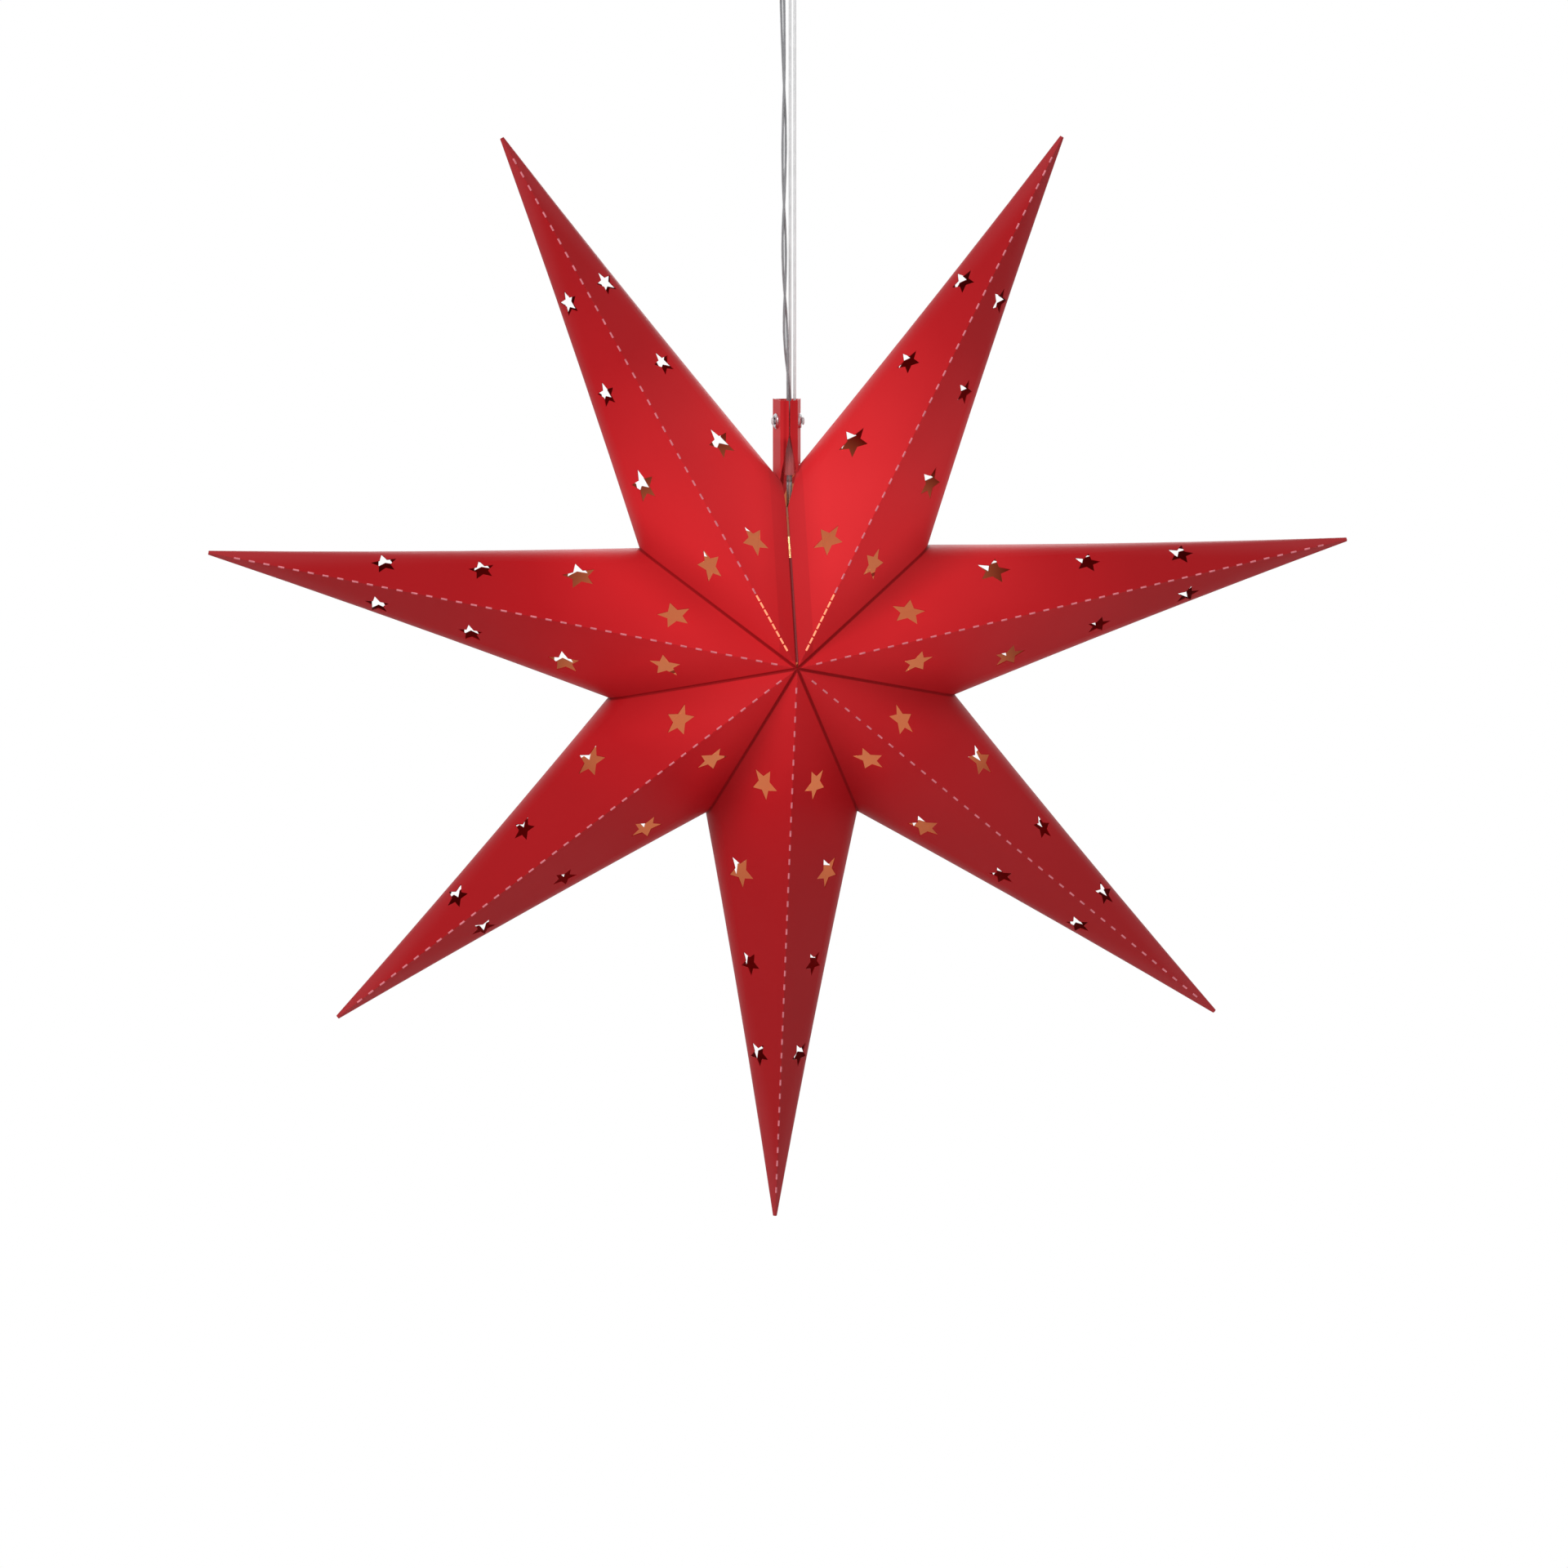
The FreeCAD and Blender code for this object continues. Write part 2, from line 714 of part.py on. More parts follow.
def make_tie(outermost):
    """A strap round the coil's turns at its top."""
    start, across, stack = coil_frame()
    step = size("cable_diameter") + size("cable_gap")
    inside = outermost - size("coil_turns_per_layer") * step
    radial = outermost - inside + size("cable_diameter") + 2 * size("cable_gap")
    depth = size("coil_layers") * step + 2 * size("cable_gap")
    wall = size("tie_thickness")
    width = size("tie_width")
    outer = Part.makeBox(width, depth + 2 * wall, radial + 2 * wall)
    inner = Part.makeBox(width + 2, depth, radial, Vector(-1, wall, wall))
    outer = outer.makeFillet(wall, [e for e in outer.Edges if abs(e.tangentAt(0).x) > 0.9])
    strap = outer.cut(inner)
    middle = start + across * outermost + stack * ((size("coil_layers") - 1) * step / 2)
    high = (outermost + inside) / 2
    strap.translate(Vector(-width / 2, -depth / 2 - wall, high - radial / 2 - wall))
    turn = Rotation(Vector(0, 0, 1), math.degrees(math.atan2(across.y, across.x)))
    keep("coil_tie", strap, Placement(middle, turn))


def make_plug(end):
    """Relief, flat body and two pins, hanging from the coil's last turn."""
    start, across, stack = coil_frame()
    relief = doc.addObject("Part::Cone", "plug_relief")
    relief.Label = "plug_relief"
    bind(relief, Radius1="Sizes.relief_diameter / 2", Radius2="Sizes.cable_diameter / 2 + 0.6",
         Height="Sizes.relief_length")
    turn = Rotation(Vector(0, 0, 1), -size("coil_facing"))
    low = end - Vector(0, 0, size("relief_length"))
    relief.Placement = Placement(low, turn)
    finished["plug_relief"] = relief
    body = doc.addObject("PartDesign::Body", "plug_body")
    body.Label = "plug_body"
    plane = [f for f in body.Origin.OriginFeatures if f.Role == "XY_Plane"][0]
    sketch = body.newObject("Sketcher::SketchObject", "plug_outline")
    sketch.AttachmentSupport = (plane, "")
    sketch.MapMode = "FlatFace"
    half = size("plug_width") / 2
    flat = size("plug_thickness") / 2
    corners = [Vector(-half, -flat, 0), Vector(half, -flat, 0), Vector(half, flat, 0),
               Vector(-half, flat, 0)]
    for index in range(4):
        sketch.addGeometry(Part.LineSegment(corners[index], corners[(index + 1) % 4]), False)
    pad = body.newObject("PartDesign::Pad", "plug_block")
    pad.Profile = sketch
    pad.setExpression("Length", "Sizes.plug_length")
    pad.Reversed = True
    doc.recompute()
    body.Tip = pad
    soft = body.newObject("PartDesign::Fillet", "plug_softened")
    edges = ["Edge%d" % index for index, edge in enumerate(pad.Shape.Edges, 1)
             if abs(edge.tangentAt(edge.FirstParameter).z) > 0.9]
    soft.Base = (pad, edges)
    soft.setExpression("Radius", "Sizes.plug_thickness * 0.4")
    body.Placement = Placement(low, turn)
    finished["plug_body"] = body
    pins = []
    for side in (-1, 1):
        pin = Part.makeCylinder(size("pin_diameter") / 2, size("pin_length"),
                                Vector(side * size("pin_spacing") / 2, 0, 0), Vector(0, 0, -1))
        tip = [e for e in pin.Edges if e.BoundBox.ZMax < -size("pin_length") + 0.01]
        pins.append(pin.makeFillet(size("pin_diameter") * 0.4, tip))
    at = Placement(low - Vector(0, 0, size("plug_length")), turn)
    keep("plug_pins", Part.makeCompound(pins), at)


# Lamp: a cap on the cable's end, a board with its diodes and a clear lens
def make_lamp():
    axis = Vector(TAB.x + size("cable_tab_side"), -size("cable_forward"),
                  size("lamp_height") - size("hang_drop"))
    cap = size("cap_diameter") / 2
    long = size("cap_length")
    neck = size("cable_diameter") / 2 + size("cable_clearance") * 6
    wall = size("cap_wall")
    outline = [
        (0, long), (neck, long), (cap, long * 0.7), (cap, 0),
        (cap - wall, 0), (cap - wall, long * 0.4), (0, long * 0.4),
    ]
    points = [Vector(x, 0, z) for x, z in outline]
    shape = Part.Face(Part.makePolygon(points + points[:1])).revolve(Vector(), Vector(0, 0, 1), 360)
    keep("lamp_cap", shape, Placement(axis, Rotation()))
    board = doc.addObject("Part::Cylinder", "lamp_board")
    board.Label = "lamp_board"
    bind(board, Radius="Sizes.board_diameter / 2", Height="Sizes.board_thickness")
    seat = long * 0.4 - size("board_thickness")
    board.Placement = Placement(axis + Vector(0, 0, seat), Rotation())
    finished["lamp_board"] = board
    diodes = []
    count = int(size("led_count"))
    side = size("led_size")
    ring = size("board_diameter") / 2 - side * 0.8
    for index in range(count):
        angle = 360 * index / count
        diode = Part.makeBox(side, side, side / 2, Vector(ring - side / 2, -side / 2, -side / 2))
        diode.rotate(Vector(), Vector(0, 0, 1), angle)
        diodes.append(diode)
    keep("lamp_diodes", Part.makeCompound(diodes), Placement(axis + Vector(0, 0, seat), Rotation()))
    lens_top = axis - Vector(0, 0, size("glue_gap"))
    shell = lens_space("lens_outside", size("lens_diameter") / 2, lens_top)
    hollow = lens_space("lens_inside", size("lens_diameter") / 2 - size("lens_wall"), lens_top)
    lens = doc.addObject("Part::Cut", "lamp_lens")
    lens.Label = "lamp_lens"
    lens.Base = shell
    lens.Tool = hollow
    finished["lamp_lens"] = lens


def lens_space(name, radius, top):
    """A tube with a round end below, as long as the lens."""
    straight = size("lens_length") - size("lens_diameter") / 2
    barrel = doc.addObject("Part::Cylinder", name + "_barrel")
    barrel.Radius = radius
    barrel.Height = straight
    barrel.Placement = Placement(top - Vector(0, 0, straight), Rotation())
    end = doc.addObject("Part::Sphere", name + "_end")
    end.Radius = radius
    end.Placement = Placement(top - Vector(0, 0, straight), Rotation())
    space = doc.addObject("Part::Fuse", name)
    space.Base = barrel
    space.Tool = end
    return space


make_arms()
make_closing_flaps()
make_tab()
make_clip()
make_line()
make_cable()
make_lamp()
doc.recompute()


def check_document():
    for item in doc.Objects:
        if "Invalid" in item.State or "Error" in item.State:
            raise RuntimeError("%s is %s" % (item.Label, item.State))
    for name, feature in finished.items():
        if feature.Shape.isNull() or not feature.Shape.isValid():
            raise RuntimeError("%s has no valid shape" % name)


check_document()
for name, feature in finished.items():
    feature.Shape.exportStep("parts/%s.step" % name)
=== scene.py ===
import bpy
import math
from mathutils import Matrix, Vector
from mathutils.bvhtree import BVHTree


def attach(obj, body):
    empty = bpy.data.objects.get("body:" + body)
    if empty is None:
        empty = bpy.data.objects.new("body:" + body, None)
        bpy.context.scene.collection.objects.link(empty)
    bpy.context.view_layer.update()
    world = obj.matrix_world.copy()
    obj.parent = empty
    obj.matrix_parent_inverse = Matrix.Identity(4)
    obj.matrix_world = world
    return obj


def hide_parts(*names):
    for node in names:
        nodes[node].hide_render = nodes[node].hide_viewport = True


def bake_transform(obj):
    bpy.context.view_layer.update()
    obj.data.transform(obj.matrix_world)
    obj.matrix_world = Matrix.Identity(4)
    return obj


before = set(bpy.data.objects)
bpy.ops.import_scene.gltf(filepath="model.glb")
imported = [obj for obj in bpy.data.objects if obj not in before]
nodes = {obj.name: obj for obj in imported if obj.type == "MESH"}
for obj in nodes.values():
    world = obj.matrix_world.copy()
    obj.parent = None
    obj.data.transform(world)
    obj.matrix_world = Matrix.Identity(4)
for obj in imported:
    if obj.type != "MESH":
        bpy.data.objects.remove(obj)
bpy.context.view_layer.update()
MM = 0.001

# The star's own sizes, as the part gives them
HANG_DROP = 0.508
CENTRE = Vector((-0.0044, 0.0, -HANG_DROP))
STAR_RADIUS = 0.300
ARM_ANGLES = {
    "arm_upper_right": 28.5,
    "arm_right": 79.4,
    "arm_lower_right": 130.4,
    "arm_bottom": 180.9,
    "arm_lower_left": 230.9,
    "arm_left": 280.3,
    "arm_upper_left": 331.4,
}
UPPER_ARMS = ("arm_upper_left", "arm_upper_right")
LAMP_AT = CENTRE + Vector((0.0026, -0.0029, 0.056))
# The middle of the paper that the lamp, shining down, lights from inside
WARM_AT = CENTRE + Vector((0, 0, -0.020))


# Camera, at the photograph's place
def make_camera():
    photo_side = 1920
    focal_pixels = 5818
    azimuth = math.radians(-5.2)
    elevation = math.radians(8.6)
    distance = 2.472
    target = CENTRE + Vector((0.0001, 0, -0.0699))
    back = Vector((
        math.sin(azimuth) * math.cos(elevation),
        -math.cos(azimuth) * math.cos(elevation),
        math.sin(elevation),
    ))
    data = bpy.data.cameras.new("camera")
    data.sensor_width = 36
    data.lens = 36 * focal_pixels / photo_side
    camera = bpy.data.objects.new("camera", data)
    bpy.context.scene.collection.objects.link(camera)
    camera.location = target + back * distance
    camera.rotation_mode = "QUATERNION"
    camera.rotation_quaternion = (-back).to_track_quat("-Z", "Y")
    data.clip_start = 0.05
    data.clip_end = 30
    bpy.context.scene.camera = camera


make_camera()


# Small helpers for materials
def new_material(name):
    material = bpy.data.materials.new(name)
    material.use_nodes = True
    return material, material.node_tree.nodes, material.node_tree.links


def shader(material):
    return material.node_tree.nodes["Principled BSDF"]


def set_inputs(node, **values):
    for name, value in values.items():
        node.inputs[name.replace("_", " ")].default_value = value


def add(nodes_of, kind, **settings):
    node = nodes_of.new(kind)
    for name, value in settings.items():
        setattr(node, name, value)
    return node


def fill(tree, node, inputs):
    for index, value in enumerate(inputs):
        if isinstance(value, bpy.types.NodeSocket):
            tree.links.new(value, node.inputs[index])
        else:
            node.inputs[index].default_value = value


def math_node(tree, operation, *inputs, clamp=False):
    """A Math node whose inputs are sockets or numbers; gives its output."""
    node = add(tree.nodes, "ShaderNodeMath", operation=operation, use_clamp=clamp)
    fill(tree, node, inputs)
    return node.outputs[0]


def vector_node(tree, operation, *inputs):
    node = add(tree.nodes, "ShaderNodeVectorMath", operation=operation)
    fill(tree, node, inputs)
    return node


def ramp(tree, factor, stops):
    """A colour ramp over (position, colour) stops."""
    node = add(tree.nodes, "ShaderNodeValToRGB")
    while len(node.color_ramp.elements) < len(stops):
        node.color_ramp.elements.new(0.5)
    for element, (place, colour) in zip(node.color_ramp.elements, stops):
        element.position = place
        element.color = (*colour, 1.0)
    tree.links.new(factor, node.inputs["Fac"])
    return node.outputs["Color"]


def mix_colour(tree, factor, one, two, blend="MIX"):
    node = add(tree.nodes, "ShaderNodeMix", data_type="RGBA", blend_type=blend)
    for name, kind, value in (("Factor", "VALUE", factor), ("A", "RGBA", one), ("B", "RGBA", two)):
        socket = [item for item in node.inputs if item.name == name and item.type == kind][0]
        if isinstance(value, bpy.types.NodeSocket):
            tree.links.new(value, socket)
        else:
            socket.default_value = value
    return [socket for socket in node.outputs if socket.type == "RGBA"][0]


def split(tree, vector):
    node = add(tree.nodes, "ShaderNodeSeparateXYZ")
    tree.links.new(vector, node.inputs[0])
    return node.outputs


def linear(red, green, blue):
    """A colour of 0 to 255 as it looks on screen, for a shader."""
    def one(value):
        value /= 255
        return value / 12.92 if value <= 0.04045 else ((value + 0.055) / 1.055) ** 2.4
    return one(red), one(green), one(blue)


def clear_material(name, colour, alpha, roughness=0.15):
    """Clear plastic: a see-through surface with its own gloss."""
    material = plain_material(name, colour, roughness, grain=140.0)
    bsdf = shader(material)
    bsdf.inputs["Alpha"].default_value = alpha
    bsdf.inputs["IOR"].default_value = 1.5
    bsdf.inputs["Coat Weight"].default_value = 0.6
    bsdf.inputs["Coat Roughness"].default_value = 0.08
    return material


def plain_material(name, colour, roughness, metallic=0.0, grain=60.0, contrast=0.08):
    """A finish whose colour and roughness drift a little over the surface."""
    material, nodes_of, links = new_material(name)
    tree = material.node_tree
    bsdf = shader(material)
    place = add(nodes_of, "ShaderNodeTexCoord").outputs["Object"]
    noise = add(nodes_of, "ShaderNodeTexNoise")
    links.new(place, noise.inputs["Vector"])
    set_inputs(noise, Scale=grain, Detail=4.0)
    dark = tuple(channel * (1 - contrast) for channel in colour)
    pale = tuple(min(1.0, channel * (1 + contrast)) for channel in colour)
    links.new(ramp(tree, noise.outputs["Fac"], [(0.3, dark), (0.7, pale)]), bsdf.inputs["Base Color"])
    rough = math_node(tree, "MULTIPLY_ADD", noise.outputs["Fac"], 0.15, roughness - 0.07)
    links.new(rough, bsdf.inputs["Roughness"])
    bsdf.inputs["Metallic"].default_value = metallic
    return material


def glowing_material(name, colour, strength):
    material, nodes_of, links = new_material(name)
    tree = material.node_tree
    bsdf = shader(material)
    place = add(nodes_of, "ShaderNodeTexCoord").outputs["Object"]
    noise = add(nodes_of, "ShaderNodeTexNoise")
    links.new(place, noise.inputs["Vector"])
    set_inputs(noise, Scale=300.0)
    dim = tuple(channel * 0.85 for channel in colour)
    tint = ramp(tree, noise.outputs["Fac"], [(0.35, dim), (0.65, colour)])
    links.new(tint, bsdf.inputs["Base Color"])
    links.new(tint, bsdf.inputs["Emission Color"])
    bsdf.inputs["Emission Strength"].default_value = strength
    return material


JACKET = clear_material("clear_jacket", (0.70, 0.71, 0.73), 0.28, 0.2)
CONDUCTOR = plain_material(
    "tinned_strands", (0.10, 0.10, 0.11), 0.35, metallic=0.5, grain=900.0, contrast=0.4,
)
LINE = clear_material("clear_line", (0.74, 0.74, 0.75), 0.60, 0.2)


# Cable and line: smooth routes with the cords swept along them
def nurbs_line(name, points):
    """A bare curve of one open spline through control points."""
    curve = bpy.data.curves.new(name, "CURVE")
    curve.dimensions = "3D"
    curve.resolution_u = 6
    spline = curve.splines.new("NURBS")
    spline.points.add(len(points) - 1)
    for point, place in zip(spline.points, points):
        point.co = (*place, 1.0)
    spline.order_u = 3
    spline.use_endpoint_u = True
    item = bpy.data.objects.new(name, curve)
    bpy.context.scene.collection.objects.link(item)
    return item


def line_of(points, step):
    """Points a step apart along the smooth line of those control points."""
    curve = nurbs_line("route", points)
    mesh = bpy.data.meshes.new_from_object(curve)
    rough = [vertex.co.copy() for vertex in mesh.vertices]
    bpy.data.meshes.remove(mesh)
    bpy.data.objects.remove(curve)
    along = [0.0]
    for one, two in zip(rough, rough[1:]):
        along.append(along[-1] + (two - one).length)
    count = max(2, math.ceil(along[-1] / step))
    line = []
    index = 0
    for number in range(count + 1):
        at = along[-1] * number / count
        while index < len(rough) - 2 and along[index + 1] < at:
            index += 1
        share = (at - along[index]) / max(along[index + 1] - along[index], 1e-9)
        line.append(rough[index].lerp(rough[index + 1], min(1.0, share)))
    return line


def frames_along(line, side):
    """A side and an upright direction at each point, carried along without spin."""
    frames = []
    last = (line[1] - line[0]).normalized()
    side = (side - last * side.dot(last)).normalized()
    for index in range(len(line)):
        before = line[max(index - 1, 0)]
        after = line[min(index + 1, len(line) - 1)]
        ahead = (after - before).normalized()
        side = last.rotation_difference(ahead) @ side
        last = ahead
        frames.append((side, ahead.cross(side)))
    return frames


def twin_section(lobe, sides=7):
    """A flat twin flex's outline: two lobes side by side."""
    points = []
    for centre, start in ((lobe, -120), (-lobe, 60)):
        for index in range(sides):
            angle = math.radians(start + 240 * index / (sides - 1))
            points.append((centre + lobe * math.cos(angle), lobe * math.sin(angle)))
    return points


def ring_section(radius, sides, centre=0.0):
    points = []
    for index in range(sides):
        angle = 2 * math.pi * index / sides
        points.append((centre + radius * math.cos(angle), radius * math.sin(angle)))
    return points


def mesh_piece(name, vertices, faces, material, smooth=False):
    mesh = bpy.data.meshes.new(name)
    mesh.from_pydata([tuple(vertex) for vertex in vertices], [], faces)
    mesh.materials.append(material)
    for face in mesh.polygons:
        face.use_smooth = smooth and len(face.vertices) == 4
    item = bpy.data.objects.new(name, mesh)
    bpy.context.scene.collection.objects.link(item)
    return item


def sweep(name, line, frames, turn_at, section, material):
    """A closed tube whose section turns about the line as it goes along."""
    vertices = []
    faces = []
    travelled = 0.0
    count = len(section)
    for index, place in enumerate(line):
        if index:
            travelled += (place - line[index - 1]).length
        side, up = frames[index]
        angle = turn_at(travelled)
        wide = side * math.cos(angle) + up * math.sin(angle)
        thin = up * math.cos(angle) - side * math.sin(angle)
        vertices.extend(place + wide * x + thin * y for x, y in section)
    for ring in range(len(line) - 1):
        for index in range(count):
            one = ring * count + index
            two = ring * count + (index + 1) % count
            faces.append((one, two, two + count, one + count))
    faces.append(tuple(reversed(range(count))))
    faces.append(tuple(range((len(line) - 1) * count, len(line) * count)))
    return mesh_piece(name, vertices, faces, material, smooth=True)


# The cable's route in millimetres, its heights from the star's centre, as the part gives it
CABLE_ROUTE = [
    (-5.3, 13.0, 424.0),
    (-5.3, 13.0, 402.0),
    (-5.5, 1.0, 362.0),
    (-5.1, -0.2, 332.0),
    (-4.1, -0.6, 284.0),
    (-4.5, -1.2, 236.0),
    (-4.3, -1.8, 194.0),
    (-3.6, -2.4, 158.0),
    (-1.9, -2.9, 133.0),
    (-1.8, -2.9, 121.4),
]
CABLE_WIDTH = 0.0032
# A conductor's radius as a share of its lobe's
CONDUCTOR_SHARE = 0.72
ROUTE_STEP = 0.0022
CABLE_GAP = 0.0006
COIL_FACING = math.radians(16)
COIL_STEP = CABLE_WIDTH + CABLE_GAP
COIL_INNER = 0.020
COIL_HALVES = 8
COIL_LAYERS = 4
COIL_TAIL = 0.010
# Heights above the star's centre in millimetres: the lamp's pivot and the top of its cap
LAMP_PIVOT = 88.0
CAP_TOP = 75.0
# Heights for the ends of the bends the held stretches are meant to take, listed with each stretch
TAB_BEND_END = 114.0
LAMP_BEND_END = 84.0
# Along the cable from the tab, where its broad side has turned: metres and degrees
TWISTS = [(0, 0), (0.024, 90), (0.063, 270), (0.109, 450), (0.169, 630), (0.216, 720), (0.3, 684)]


def at_height(point):
    x, y, z = point
    return Vector((x * MM, y * MM, z * MM - HANG_DROP))


def coil_points(per_half=8):
    """Half turns that spiral in and out, layer behind layer, with a straight tail down to the plug."""
    across = Vector((math.sin(COIL_FACING), math.cos(COIL_FACING), 0))
    stack = Vector((-math.cos(COIL_FACING), math.sin(COIL_FACING), 0))
    at = at_height(CABLE_ROUTE[0])
    radius = COIL_INNER + COIL_HALVES * COIL_STEP / 2
    points = []
    for index in range(COIL_LAYERS * COIL_HALVES + 1):
        side = 1 if index % 2 == 0 else -1
        layer = index // COIL_HALVES
        move = across * (2 * radius * side)
        if index % COIL_HALVES == 0 and 0 < layer < COIL_LAYERS:
            move = move + stack * COIL_STEP
        rise = Vector((0, 0, side * move.length / 2))
        for number in range(per_half):
            angle = math.pi * number / per_half
            points.append(at + move * (1 - math.cos(angle)) / 2 + rise * math.sin(angle))
        at = at + move
        radius += -COIL_STEP / 2 if layer % 2 == 0 else COIL_STEP / 2
    points.append(at)
    points.append(at + Vector((0, 0, -COIL_TAIL)))
    return points


def twist_at(travelled):
    for (start, low), (end, high) in zip(TWISTS, TWISTS[1:]):
        if travelled < end:
            share = (travelled - start) / (end - start)
            return math.radians(low + (high - low) * share)
    return math.radians(TWISTS[-1][1])


def no_twist(travelled):
    return 0.0


def twin_cable(name, line, turn_at):
    """Clear jacket with two stranded conductors inside; gives both pieces."""
    frames = frames_along(line, Vector((1, 0, 0)))
    lobe = CABLE_WIDTH / 4
    jacket = sweep(name, line, frames, turn_at, twin_section(lobe), JACKET)
    cores = []
    for side, word in ((-1, "left"), (1, "right")):
        section = ring_section(lobe * CONDUCTOR_SHARE, 6, side * lobe)
        cores.append(sweep(name + "_core_" + word, line, frames, turn_at, section, CONDUCTOR))
    return jacket, cores


def make_cable():
    free = [at_height(point) for point in reversed(CABLE_ROUTE)][:-1]
    line = line_of(free + coil_points(), ROUTE_STEP)
    jacket, cores = twin_cable("power_cable", line, twist_at)
    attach(jacket, "line")
    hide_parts("cable_free", "cable_coil")
    for core in cores:
        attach(core, "line")


def straight(low, high, x, y, step=2.0):
    count = max(2, round((high - low) / step))
    return [at_height((x, y, low + (high - low) * index / count)) for index in range(count + 1)]


def make_held_cables():
    """The straight stretches that the clip and the lamp hold, built in place of their nodes."""
    x, y = CABLE_ROUTE[-1][:2]
    top = CABLE_ROUTE[-1][2]
    stretches = {
        "tab_cable": (LAMP_PIVOT, top, "line", "star", top, TAB_BEND_END, "cable_tab"),
        "lamp_cable": (CAP_TOP, LAMP_PIVOT, "star", "lamp", LAMP_PIVOT, LAMP_BEND_END, "cable_lamp"),
    }
    for name, (low, high, above, below, start, end, node) in stretches.items():
        jacket, cores = twin_cable(name, straight(low, high, x, y), no_twist)
        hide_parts(node)
        for piece in (jacket, *cores):
            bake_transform(piece)


make_cable()
make_held_cables()


# Places in the paper's shaders, worked out from the star's own sizes
def nearest_valley(tree, split_place):
    """The distance across the face to the nearest valley fold."""
    x = math_node(tree, "SUBTRACT", split_place["X"], CENTRE.x)
    z = math_node(tree, "SUBTRACT", split_place["Z"], CENTRE.z)
    turn = math_node(tree, "ARCTAN2", x, z)
    radius = math_node(tree, "SQRT", math_node(tree, "ADD", math_node(tree, "MULTIPLY", x, x),
                                                math_node(tree, "MULTIPLY", z, z)))
    angles = list(ARM_ANGLES.values())
    least = None
    for one, two in zip(angles, angles[1:] + [angles[0] + 360]):
        valley = math.radians((one + two) / 2)
        away = math_node(tree, "ABSOLUTE", math_node(tree, "SINE", math_node(tree, "DIVIDE", math_node(
            tree, "SUBTRACT", turn, valley), 2.0)))
        least = away if least is None else math_node(tree, "MINIMUM", least, away)
    return math_node(tree, "MULTIPLY", math_node(tree, "MULTIPLY", least, 2.0), radius), radius


def fade(tree, value, near, far):
    """One at the near value, nought at the far one."""
    node = add(tree.nodes, "ShaderNodeMapRange", interpolation_type="SMOOTHSTEP")
    tree.links.new(value, node.inputs["Value"])
    set_inputs(node, From_Min=near, From_Max=far, To_Min=1.0, To_Max=0.0)
    return node.outputs[0]


# Colours as they look on screen: the red paper painted as lit by the lamp, with painted sheen and painted
# shade
RED_LAMP_LIT = linear(196, 20, 28)
RED_AWAY_FROM_LAMP = linear(166, 12, 20)
RED_EDGE_SHEEN = linear(172, 62, 66)
RED_VALLEY_SHADE = linear(118, 2, 6)
RED_FLAP_SHADOW = linear(120, 4, 12)
INSIDE_LAMP_LIT = linear(208, 128, 84)
INSIDE_HALF_LIT = linear(192, 104, 68)
INSIDE_IN_SHADE = linear(128, 6, 10)
# Distances in metres
EDGE_SHEEN_WIDTH = 0.013
VALLEY_SHADE_LINE = 0.0011
VALLEY_SHADE = 0.020
FLAP_SHADOW_WIDTH = 0.0088
FLAP_FADE = 0.0006
FLAP_LOW = 0.004
VALLEY_FADES_FROM = 0.108
VALLEY_ENDS = 0.112
# How fast the valley's painted shade grows with the distance from the centre, per metre
VALLEY_GROWTH = 16.0
# How strongly each painted shade and the painted sheen show, from 0 to 1
EDGE_SHEEN_STRENGTH = 0.55
VALLEY_STRENGTH = 0.30
VALLEY_SHADE_LINE_STRENGTH = 0.75
FLAP_SHADOW_STRENGTH = 0.22
# Below this product of place and normal, in metres, a face is taken for the inside
INSIDE_BELOW = -0.0002


